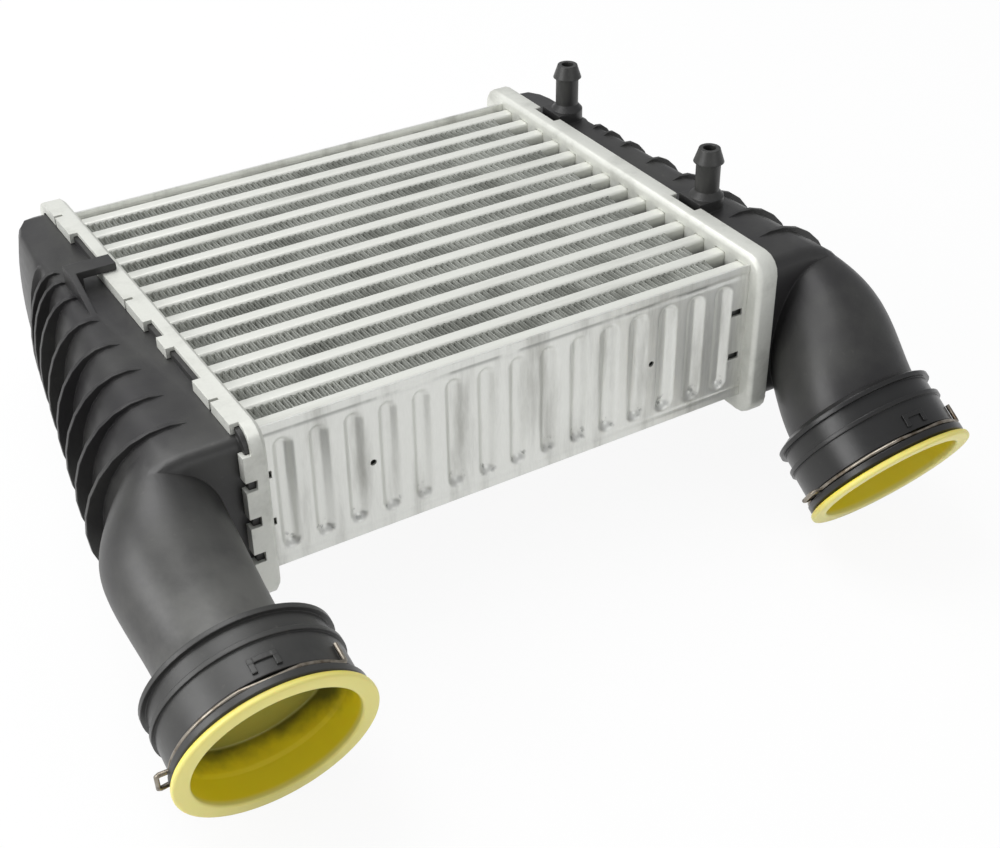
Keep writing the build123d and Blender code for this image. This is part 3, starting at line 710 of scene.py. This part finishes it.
@dataclass
class Core:
    """Fins, tubes and side plates between the two header plates."""

    foil: Material
    tube: Material
    plate: Material
    length: float = 215.0 * MM
    tube_count: int = 14
    tube_pitch: float = 13.7 * MM
    tube_thickness: float = 6.4 * MM
    tube_depth: float = 58.0 * MM
    tube_nose: float = 1.5 * MM
    tube_end: float = 3.1 * MM
    nose_steps: int = 5
    fin_pitch: float = 1.42 * MM
    fin_sheet: float = 0.22 * MM
    fin_narrow_crest: float = 0.30
    fin_wide_crest: float = 0.58
    fin_bend: float = 0.35 * MM
    bend_steps: int = 2
    fin_recess: float = 0.5 * MM
    fin_left_gap: float = 1.5 * MM
    fin_right_gap: float = 8.0 * MM
    plate_face: float = 95.15 * MM
    plate_sheet: float = 1.0 * MM
    plate_depth: float = 62.0 * MM
    plate_cell: float = 0.75 * MM
    plate_smooth: float = 50.0
    rib_count: int = 15
    rib_width: float = 9.2 * MM
    rib_height: float = 50.4 * MM
    rib_depth: float = 2.4 * MM
    rib_slope: float = 3.5 * MM
    crease_depth: float = 0.45 * MM
    crease_width: float = 0.9 * MM
    hole_radius: float = 1.3 * MM
    hole_places: Pair = (2.5, 11.5)
    slot_height: float = 3.0 * MM
    slots: tuple[tuple[int, float, float], ...] = ((-1, 2.2 * MM, 1.8 * MM), (1, 4.6 * MM, 5.2 * MM))
    slot_spacing: float = 20.0 * MM

    def build(self) -> list[Object]:
        """Builds every fine mesh of the core."""
        return [self.fins(), self.tubes(), self.side_plate(-1), self.side_plate(1)]

    def fins(self) -> Object:
        """Folded foil in every gap between two tubes, by Geometry Nodes."""
        tree = FieldTree("fin_rows")
        graph = tree.graph
        start = self.fin_left_gap - self.length / 2
        end = self.length / 2 - self.fin_right_gap
        folds = int((end - start) / self.fin_pitch)
        pitch = tree.size("Fold pitch", self.fin_pitch)
        count = tree.size("Fold points", 2 * folds)
        height = tree.size("Fin height", self.tube_pitch - self.tube_thickness)
        sheet = tree.size("Foil", self.fin_sheet)
        depth = tree.size("Depth", self.tube_depth - 2 * self.fin_recess)
        narrow = tree.size("Narrow crest", self.fin_narrow_crest * self.fin_pitch)
        wide = tree.size("Wide crest", self.fin_wide_crest * self.fin_pitch)
        bend = tree.size("Bend radius", self.fin_bend)
        rows = tree.size("Rows", self.tube_count - 1)
        spacing = tree.size("Row pitch", self.tube_pitch)

        line = graph.node("MeshLine", Count=count)
        index = Signal(graph, graph.node("InputIndex").outputs[0])
        fold = graph.math("FLOOR", index / 2)
        half = graph.math("MODULO", index, 2.0)
        turn = graph.math("MODULO", fold, 2.0)
        crest = wide - turn * (wide - narrow)
        x = start + fold * pitch + (half * 2 - 1) * crest
        y = (turn * 2 - 1) * (height - sheet) / 2
        folded = graph.node("SetPosition", Geometry=line,
                            Position=tree.vector(x, y, MID_DEPTH))
        path = graph.node("MeshToCurve", Mesh=folded)
        rounded = graph.node("FilletCurve", {"mode": "POLY"}, Curve=path, Radius=bend,
                             Count=self.bend_steps)
        upright = graph.node("SetCurveNormal", {"mode": "Z_UP"}, Curve=rounded)
        outline = graph.node("CurvePrimitiveQuadrilateral", Width=sheet, Height=depth)
        band = graph.node("CurveToMesh", Curve=upright, Profile_Curve=outline, Fill_Caps=True)
        piece = tree.make("core_fins", tree.stack(band, rows, spacing), self.foil)
        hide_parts(*[f"fin_{index:02d}" for index in range(1, self.tube_count)])
        return piece

    def tubes(self) -> Object:
        """Flat tubes with rounded noses, by Geometry Nodes."""
        tree = FieldTree("tube_bank")
        graph = tree.graph
        length = tree.size("Tube length", self.length + 2 * self.tube_end)
        width = tree.size("Tube thickness", self.tube_thickness)
        depth = tree.size("Tube depth", self.tube_depth)
        nose = tree.size("Nose radius", self.tube_nose)
        count = tree.size("Tubes", self.tube_count)
        spacing = tree.size("Tube pitch", self.tube_pitch)

        path = graph.node("CurvePrimitiveLine",
                          Start=tree.vector(length * -0.5, 0.0, MID_DEPTH),
                          End=tree.vector(length * 0.5, 0.0, MID_DEPTH))
        outline = graph.node("CurvePrimitiveQuadrilateral", Width=width, Height=depth)
        rounded = graph.node("FilletCurve", {"mode": "POLY"}, Curve=outline, Radius=nose,
                             Count=self.nose_steps)
        swept = graph.node("CurveToMesh", Curve=path, Profile_Curve=rounded, Fill_Caps=True)
        piece = tree.make("core_tubes", tree.stack(swept, count, spacing), self.tube)
        smooth(piece.data)
        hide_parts(*[f"tube_{index:02d}" for index in range(1, self.tube_count + 1)])
        return piece

    def side_plate(self, sign: int) -> Object:
        """Pressed side plate, its ribs shaped by Geometry Nodes.

        Args:
            sign: -1 for the plate on the ports' side, 1 for the back one.

        Returns:
            The finished plate.
        """
        name = "front_side_plate" if sign < 0 else "back_side_plate"
        tree = FieldTree(f"{name}_sheet")
        graph = tree.graph
        length = tree.size("Length", self.length)
        depth = tree.size("Depth", self.plate_depth)
        pitch = tree.size("Rib pitch", RIB_PITCH)
        shift = tree.size("Rib shift", RIB_SHIFT)
        last = tree.size("Outer rib", (self.rib_count - 1) / 2)
        width = tree.size("Rib width", self.rib_width)
        height = tree.size("Rib height", self.rib_height)
        press = tree.size("Press depth", self.rib_depth)
        slope = tree.size("Rib slope", self.rib_slope)

        grid = graph.node("MeshGrid", Size_X=length, Size_Y=depth,
                          Vertices_X=int(self.length / self.plate_cell),
                          Vertices_Y=int(self.plate_depth / self.plate_cell))
        place = graph.node("ShaderNodeSeparateXYZ", Vector=graph.node("InputPosition"))
        x = Signal(graph, place.outputs[0])
        z = Signal(graph, place.outputs[1])
        nearest = graph.math("ROUND", (x - shift) / pitch)
        nearest = graph.math("MAXIMUM", graph.math("MINIMUM", nearest, last), last * -1)
        across = x - shift - nearest * pitch
        beyond = graph.math("MAXIMUM", abs(z) - (height - width) / 2, 0.0)
        distance = graph.math("SQRT", across * across + beyond * beyond)
        crease = tree.size("Crease", CREASE)
        crease_depth = tree.size("Crease depth", self.crease_depth)
        crease_width = tree.size("Crease width", self.crease_width)
        pressed = graph.ramp(distance, width / 2, width / 2 - slope)
        from_crease = abs(abs(z) - crease) / crease_width
        groove = graph.math("MAXIMUM", 1.0 - from_crease, 0.0) * crease_depth
        y = sign * self.plate_face - (pressed * press + groove) * sign
        bent = graph.node("SetPosition", Geometry=grid,
                          Position=tree.vector(x, y, z + MID_DEPTH))
        piece = tree.make(f"{name}_pressed", bent.outputs[0], self.plate)
        self.thicken_plate(piece, sign)
        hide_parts(name)
        return piece

    def thicken_plate(self, piece: Object, sign: int) -> None:
        """Gives the sheet its thickness inwards and cuts its holes and slots."""
        shape = bmesh.new()
        shape.from_mesh(piece.data)
        bmesh.ops.recalc_face_normals(shape, faces=shape.faces)
        middle = sum(face.normal.y for face in shape.faces)
        if middle * sign < 0:
            bmesh.ops.reverse_faces(shape, faces=shape.faces)
        first = RIB_SHIFT - RIB_PITCH * (self.rib_count - 1) / 2
        holes = [(first + RIB_PITCH * place, 0.0) for place in self.hole_places]
        slots = [(end * (self.length / 2 - edge), z, width) for end, edge, width in self.slots
                 for z in (-self.slot_spacing / 2, self.slot_spacing / 2)]

        def is_cut(face: BMFace) -> bool:
            """Whether a face lies in a hole or a slot."""
            place = face.calc_center_median()
            height = place.z - MID_DEPTH
            in_hole = any((place.x - x) ** 2 + (height - z) ** 2 < self.hole_radius ** 2 for x, z in holes)
            in_slot = any(abs(place.x - x) < width / 2 and abs(height - z) < self.slot_height / 2
                          for x, z, width in slots)
            return in_hole or in_slot

        doomed = [face for face in shape.faces if is_cut(face)]
        bmesh.ops.delete(shape, geom=doomed, context="FACES")
        for vertex in shape.verts:
            for x, z in holes:
                arm = Vector((vertex.co.x - x, 0.0, vertex.co.z - MID_DEPTH - z))
                if vertex.is_boundary and arm.length < 2 * self.hole_radius:
                    arm.length = self.hole_radius
                    vertex.co.x = x + arm.x
                    vertex.co.z = MID_DEPTH + z + arm.z
        shape.to_mesh(piece.data)
        shape.free()
        solid = piece.modifiers.new("sheet", "SOLIDIFY")
        solid.thickness = self.plate_sheet
        solid.offset = -1.0
        bake(piece)
        smooth(piece.data, self.plate_smooth)


@dataclass
class HeaderPlate:
    """Drawn header plate: folded edges rounded, the left one's rim windows in place."""

    side: Side
    material: Material
    flat_angle: float = 1.0
    bend: float = 0.7 * MM
    bend_angle: float = 30.0
    bend_steps: int = 3
    smooth_angle: float = 40.0
    end: float = 116.9 * MM
    top: float = 65.6 * MM
    low: float = -9.4 * MM
    sheet: float = 1.6 * MM
    reach: float = 4.3 * MM
    window_depth: float = 3.4 * MM
    margin: float = 0.5 * MM
    closed: tuple[Pair, ...] = ((51.0, 74.5), (-74.0, -18.0))
    windows: tuple[Pair, ...] = ((46.7, 70.0), (-25.6, -12.6), (-60.1, -35.1))

    def block(self, spans: Sequence[Pair], depth: float, height: float,
              margin: float = 0.0) -> Object:
        """Bars along both long edges of the rim.

        Args:
            spans: start and end of each bar along Y, in millimetres.
            depth: how far they reach in from the rim's end.
            height: how far they reach in from the rim's long faces.
            margin: how far they stand out of the rim.

        Returns:
            One object with every bar.
        """
        def lay(shape: BMesh) -> None:
            """Adds the bars."""
            middle_x = self.side.value * (self.end + (margin - depth) / 2)
            inwards = (height - margin) / 2
            for first, last in spans:
                for middle_z in (self.top - inwards, self.low + inwards):
                    place = Matrix.Translation((middle_x, (first + last) / 2 * MM, middle_z))
                    size = Matrix.Diagonal((depth + margin, (last - first) * MM, height + margin, 1.0))
                    bmesh.ops.create_cube(shape, size=1.0, matrix=place @ size)

        return mesh_from("rim_bars", lay)

    def combine(self, piece: Object, operation: str, bars: Object) -> None:
        """Adds bars to a piece or cuts them from it."""
        modifier = piece.modifiers.new("bars", "BOOLEAN")
        modifier.operation = operation
        modifier.solver = "EXACT"
        modifier.object = bars
        bake(piece)
        bpy.data.objects.remove(bars)

    def build(self) -> Object:
        """Copies the CAD tray, puts its windows in place and rounds its edges."""
        name = f"{self.side.label}_header"
        piece = add_object(f"{name}_pressed", joined_copy(name, self.flat_angle))
        if self.side is Side.LEFT:
            self.combine(piece, "UNION", self.block(self.closed, self.window_depth, self.sheet))
            self.combine(piece, "UNION", self.block(self.closed, self.sheet, self.reach))
            cut = self.block(self.windows, self.window_depth, self.reach + self.margin, self.margin)
            self.combine(piece, "DIFFERENCE", cut)
        bevel = piece.modifiers.new("bend", "BEVEL")
        bevel.width = self.bend
        bevel.segments = self.bend_steps
        bevel.limit_method = "ANGLE"
        bevel.angle_limit = radians(self.bend_angle)
        bevel.use_clamp_overlap = True
        bake(piece)
        smooth(piece.data, self.smooth_angle)
        dress(piece, self.material)
        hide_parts(name)
        return piece


@dataclass
class EndTank:
    """Moulded end tank, its curved faces shaded as one."""

    side: Side
    material: Material
    smooth_angle: float = 32.0

    def build(self) -> Object:
        """Copies the CAD moulding and joins its loose triangles."""
        name = f"{self.side.label}_tank"
        piece = add_object(f"{name}_moulding", joined_copy(name))
        smooth(piece.data, self.smooth_angle)
        dress(piece, self.material)
        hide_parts(name)
        return piece


# Ports


@dataclass
class WireClip:
    """Round spring wire bent round one socket."""

    port: Port
    material: Material
    wire: float = 0.9 * MM
    seat: float = 33.6 * MM
    station: float = 7.2 * MM
    hook_seat: float = 34.4 * MM
    hook_length: float = 7.5 * MM
    slot_seat: float = 32.0 * MM
    slot_middle: float = 92.0
    middle: float = 185.0
    opening: float = 38.0
    lead: float = 4.0
    loop_half: float = 7.0
    loop_rise: float = 4.6 * MM
    bend: float = 0.8 * MM
    hook_turn: float = 1.2
    loop_turn: float = 1.3
    step: float = 3.0
    round_steps: int = 4
    smooth_angle: float = 60.0

    def points(self) -> list[Vector]:
        """Centre line of the wire, hook to hook."""
        half = acos(self.slot_seat / self.seat) * 180 / pi
        lower = 2 * self.middle - self.slot_middle
        turn = self.middle - 180

        def arc(first: float, last: float) -> list[Vector]:
            """Points on the seated arc between two angles."""
            count = max(2, ceil((last - first) / self.step))
            return [self.port.at(self.seat, first + (last - first) * k / count, self.station)
                    for k in range(count + 1)]

        def hook(end: float, inwards: float) -> list[Vector]:
            """Hooked end at an angle, from its tip to the seated arc."""
            return [self.port.at(self.hook_seat, end, self.station + self.hook_length),
                    self.port.at(self.hook_seat, end, self.station + self.bend),
                    self.port.at(self.hook_seat, end + inwards * self.hook_turn, self.station)]

        first = turn + self.opening
        last = turn + 360 - self.opening
        crest = self.seat + self.loop_rise
        near = self.middle - self.loop_half
        far = self.middle + self.loop_half
        line = hook(first, 1)
        line += arc(first + self.lead, self.slot_middle - half)
        line += arc(self.slot_middle + half, near)
        line += [self.port.at(radius, angle, self.station)
                 for radius, angle in ((crest - self.bend, near), (crest, near + self.loop_turn),
                                       (crest, far - self.loop_turn), (crest - self.bend, far))]
        line += arc(far, lower - half)
        line += arc(lower + half, last - self.lead)
        return line + hook(last, -1)[::-1]

    def build(self) -> Object:
        """Sweeps the wire and puts it in place of the CAD clip."""
        label = self.port.side.label
        curve = bpy.data.curves.new(f"{label}_clip_line", "CURVE")
        curve.dimensions = "3D"
        curve.bevel_depth = self.wire
        curve.bevel_resolution = self.round_steps
        curve.use_fill_caps = True
        spline = curve.splines.new("POLY")
        line = self.points()
        spline.points.add(len(line) - 1)
        for point, place in zip(spline.points, line):
            point.co = (*place, 1.0)
        source = add_object(f"{label}_clip_source", curve)
        mesh = evaluated_mesh(source)
        bpy.data.objects.remove(source)
        piece = add_object(f"{label}_clip_wire", mesh)
        smooth(piece.data, self.smooth_angle)
        dress(piece, self.material)
        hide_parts(f"{label}_wire_clip")
        return piece


@dataclass
class ClipFrame:
    """Small raised frame on a socket's collar, beside the clip's slot."""

    port: Port
    material: Material
    seat: float = 33.2 * MM
    rise: float = 0.9 * MM
    near: float = 10.2 * MM
    far: float = 15.4 * MM
    bar: float = 1.8 * MM
    first: float = 82.5
    last: float = 99.5
    steps: int = 6

    def build(self) -> Object:
        """Builds two legs and the bar that joins them."""
        turn = self.bar / self.seat * 180 / pi

        def lay(shape: BMesh) -> None:
            """Adds the three curved bars."""
            spans = ((self.first, self.first + turn, self.near, self.far),
                     (self.last - turn, self.last, self.near, self.far),
                     (self.first, self.last, self.far - self.bar, self.far))
            for start, end, near, far in spans:
                rings = []
                for step in range(self.steps + 1):
                    angle = start + (end - start) * step / self.steps
                    corners = ((self.seat, near), (self.seat + self.rise, near),
                               (self.seat + self.rise, far), (self.seat, far))
                    rings.append([shape.verts.new(self.port.at(radius, angle, station))
                                  for radius, station in corners])
                for low, high in zip(rings, rings[1:]):
                    for k in range(4):
                        after = (k + 1) % 4
                        shape.faces.new((low[k], low[after], high[after], high[k]))
                shape.faces.new(rings[0])
                shape.faces.new(rings[-1][::-1])

        piece = mesh_from(f"{self.port.side.label}_clip_frame", lay)
        dress(piece, self.material)
        return piece


@dataclass
class TransportPlug:
    """Soft yellow plug: rounded flange and stepped cup."""

    port: Port
    material: Material
    flange_radius: float = 36.0 * MM
    flange: float = 2.5 * MM
    radius: float = 31.0 * MM
    wall: float = 1.2 * MM
    depth: float = 23.0 * MM
    step_depth: float = 12.0 * MM
    step: float = 0.8 * MM
    step_curve: tuple[Pair, ...] = ((1.0, 0.6 * MM), (0.7, 0.0), (0.3, -1.0 * MM),
                                                   (0.0, -1.6 * MM))
    round: float = 0.9 * MM
    round_steps: int = 4
    segments: int = 96
    smooth_angle: float = 40.0

    def profile(self) -> list[Pair]:
        """Closed half-section as (radius, distance behind the mouth)."""
        inner = self.radius - self.wall
        edge = self.round

        def corner(r: float, s: float, first: float, last: float) -> list[Pair]:
            """Quarter round about a centre, between two angles in degrees."""
            angles = [radians(first + (last - first) * k / self.round_steps)
                      for k in range(self.round_steps + 1)]
            return [(r + edge * cos(angle), s + edge * sin(angle)) for angle in angles]

        line = [(0.0, self.depth - self.wall)]
        line += corner(inner - self.step - edge, self.depth - self.wall - edge, 90, 0)
        for share, shift in self.step_curve:
            line.append((inner - share * self.step, self.step_depth + shift))
        line += corner(inner + edge, edge, 180, 270)
        line += corner(self.flange_radius - edge, edge, 270, 360)
        line += corner(self.flange_radius - edge, self.flange - edge, 0, 90)
        line += [(self.radius, self.flange)]
        line += corner(self.radius - edge, self.depth - edge, 0, 90)
        line += [(0.0, self.depth)]
        return line

    def build(self) -> Object:
        """Turns the profile about the port's axis."""
        label = self.port.side.label
        line = self.profile()

        def turn(shape: BMesh) -> None:
            """Adds the turned surface."""
            rings = []
            for radius, station in line:
                if radius <= 0:
                    rings.append([shape.verts.new(self.port.at(0.0, 0.0, station))])
                    continue
                rings.append([shape.verts.new(self.port.at(radius, 360 * k / self.segments, station))
                              for k in range(self.segments)])
            for near, far in zip(rings, rings[1:]):
                for k in range(self.segments):
                    after = (k + 1) % self.segments
                    corners = [near[k % len(near)], near[after % len(near)],
                               far[after % len(far)], far[k % len(far)]]
                    unique = list(dict.fromkeys(corners))
                    if len(unique) > 2:
                        shape.faces.new(unique)

        piece = mesh_from(f"{label}_plug_cup", turn)
        smooth(piece.data, self.smooth_angle)
        dress(piece, self.material)
        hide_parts(f"{label}_plug")
        return piece


# Studio


@dataclass
class Studio:
    """White ground, soft lamps and the camera."""

    eye: Vector = field(default_factory=lambda: Vector((-271.15, -525.55, 376.2)) * MM)
    azimuth: float = -31.204
    elevation: float = 34.674
    roll: float = -0.586
    lens: float = 57.8
    left_rest: Vector = field(default_factory=lambda: Vector((-147.5, -171.4, -30.4)) * MM)
    right_rest: Vector = field(default_factory=lambda: Vector((135.1, -138.9, -48.0)) * MM)
    back_rest: Vector = field(default_factory=lambda: Vector((-116.9, 102.2, -9.8)) * MM)
    floor_half: float = 3.0
    ground: float = 0.88
    glow: float = 0.92
    light: float = 0.48
    lamps: tuple[tuple[str, Triple, float, float], ...] = (
        ("top_lamp", (-0.35, 0.5, 1.5), 1.1, 17.0),
        ("left_lamp", (-1.55, 0.1, 0.75), 0.9, 15.0),
        ("front_lamp", (0.3, -1.6, 0.5), 0.8, 2.5),
    )

    def camera(self) -> None:
        """Sets the camera where the photograph was taken from."""
        data = bpy.data.cameras.new("photo_camera")
        data.lens = self.lens
        data.sensor_width = 36.0
        data.sensor_fit = "HORIZONTAL"
        data.clip_start = 0.01
        camera = add_object("photo_camera", data)
        azimuth = radians(-self.azimuth)
        elevation = radians(self.elevation)
        forward = Vector((sin(azimuth) * cos(elevation), cos(azimuth) * cos(elevation), -sin(elevation)))
        turned = forward.to_track_quat("-Z", "Y").to_matrix().to_4x4()
        turned = turned @ Matrix.Rotation(radians(self.roll), 4, "Z")
        camera.matrix_world = Matrix.Translation(self.eye) @ turned
        bpy.context.scene.camera = camera

    def floor(self) -> None:
        """White ground through the three points that the cooler rests on."""
        normal = (self.right_rest - self.left_rest).cross(self.back_rest - self.left_rest).normalized()
        across = Vector((1.0, 0.0, 0.0)) - normal * normal.x
        across.normalize()
        along = normal.cross(across)
        centre = (self.left_rest + self.right_rest + self.back_rest) / 3

        def lay(shape: BMesh) -> None:
            """Adds one large square."""
            corners = [shape.verts.new(centre + (across * u + along * v) * self.floor_half)
                       for u, v in ((-1, -1), (1, -1), (1, 1), (-1, 1))]
            shape.faces.new(corners)

        ground = mesh_from("studio_floor", lay)
        dress(ground, self.ground_material())

    def ground_material(self) -> Material:
        """White for the camera and in reflections, with the object's shadow."""
        paint = Paint("studio_ground")
        path = paint.node("LightPath")
        seen = paint.math("MAXIMUM", Signal(paint, path.outputs["Is Camera Ray"]),
                          Signal(paint, path.outputs["Is Glossy Ray"]))
        plain = paint.node("BsdfDiffuse", Color=(*[self.ground] * 3, 1.0))
        glow = paint.node("Emission", Color=(1.0, 1.0, 1.0, 1.0), Strength=1.0)
        mixed = paint.node("MixShader", i0=seen * self.glow, i1=plain, i2=glow)
        return paint.close(mixed)

    def world(self) -> None:
        """Even white surroundings."""
        world = bpy.data.worlds.new("studio_world")
        world.use_nodes = True
        graph = Graph(world.node_tree, "ShaderNode")
        world.node_tree.nodes.clear()
        path = graph.node("LightPath")
        dim = graph.node("Background", Color=(0.97, 0.98, 1.0, 1.0), Strength=self.light)
        white = graph.node("Background", Color=(1.0, 1.0, 1.0, 1.0), Strength=1.0)
        mixed = graph.node("MixShader", i0=path.outputs["Is Camera Ray"], i1=dim, i2=white)
        graph.node("OutputWorld", Surface=mixed)
        bpy.context.scene.world = world

    def lamp(self, name: str, place: Sequence[float], size: float, power: float) -> None:
        """Square soft lamp that faces the object."""
        data = bpy.data.lights.new(name, "AREA")
        data.shape = "SQUARE"
        data.size = size
        data.energy = power
        lamp = add_object(name, data)
        lamp.location = place
        lamp.rotation_euler = (-Vector(place)).to_track_quat("-Z", "Y").to_euler()

    def build(self) -> None:
        """Sets up camera, ground, surroundings and lamps."""
        self.camera()
        self.floor()
        self.world()
        for name, place, size, power in self.lamps:
            self.lamp(name, place, size, power)
        bpy.context.scene.view_settings.view_transform = "Standard"


# Assembly


def side_finishes(side: Side) -> tuple[Material, Material]:
    """Nylon and plug plastic of one side.

    Args:
        side: which end of the core.

    Returns:
        The tank's material and the plug's.
    """
    port = PORTS[side]
    nylon = MouldedNylon(f"moulded_nylon_{side.label}", port.origin, port.outward, CHALK_AND_SHEEN[side])
    yellow = SoftPolyethylene(f"yellow_polyethylene_{side.label}", port.origin, port.outward, port.upward)
    return nylon.material(), yellow.material()


def main() -> None:
    """Builds the scene in order and reports each piece."""
    logging.basicConfig(level=logging.INFO, format="%(message)s")
    sides = {side: side_finishes(side) for side in Side}
    rubber = SEAL_RUBBER.material()
    wire = SPRING_WIRE.material()
    foil = FIN_FOIL.material()
    tube = CoreAluminium("tube_aluminium", srgb(228, 229, 222), srgb(198, 199, 192),
                         streak=(0.35, 3.0, 1.0), metallic=0.3).material()
    plate = PressedAluminium("plate_aluminium", srgb(234, 235, 230), srgb(178, 178, 172),
                             streak=(3.0, 1.0, 0.45), stain_scale=30.0, roughness=0.36,
                             metallic=0.5).material()
    header = CoreAluminium("header_aluminium", srgb(220, 221, 214), srgb(178, 179, 172),
                           stain_scale=55.0, roughness=0.52, metallic=0.35).material()

    pieces = Core(foil, tube, plate).build()
    for side, (nylon, yellow) in sides.items():
        makers = (EndTank(side, nylon), HeaderPlate(side, header), WireClip(PORTS[side], wire),
                  ClipFrame(PORTS[side], nylon), TransportPlug(PORTS[side], yellow))
        pieces += [maker.build() for maker in makers]
    for piece in pieces:
        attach(piece, BODY)
        log.info("%s: %d faces", piece.name, len(piece.data.polygons))

    tank, plug = sides[Side.LEFT]
    finishes = {"tank_plastic": tank, "seal_rubber": rubber, "clip_steel": wire,
                "plug_plastic": plug, "fin_aluminium": foil, "tube_aluminium": tube,
                "plate_aluminium": plate, "header_aluminium": header}
    for part in frame["record"]["subparts"]:
        dress(frame["nodes"][part["node"]], finishes[part["material_slot"]])
        log.info("%s: %s", part["node"], part["material_slot"])
    Studio().build()


if __name__ == "__main__":
    main()
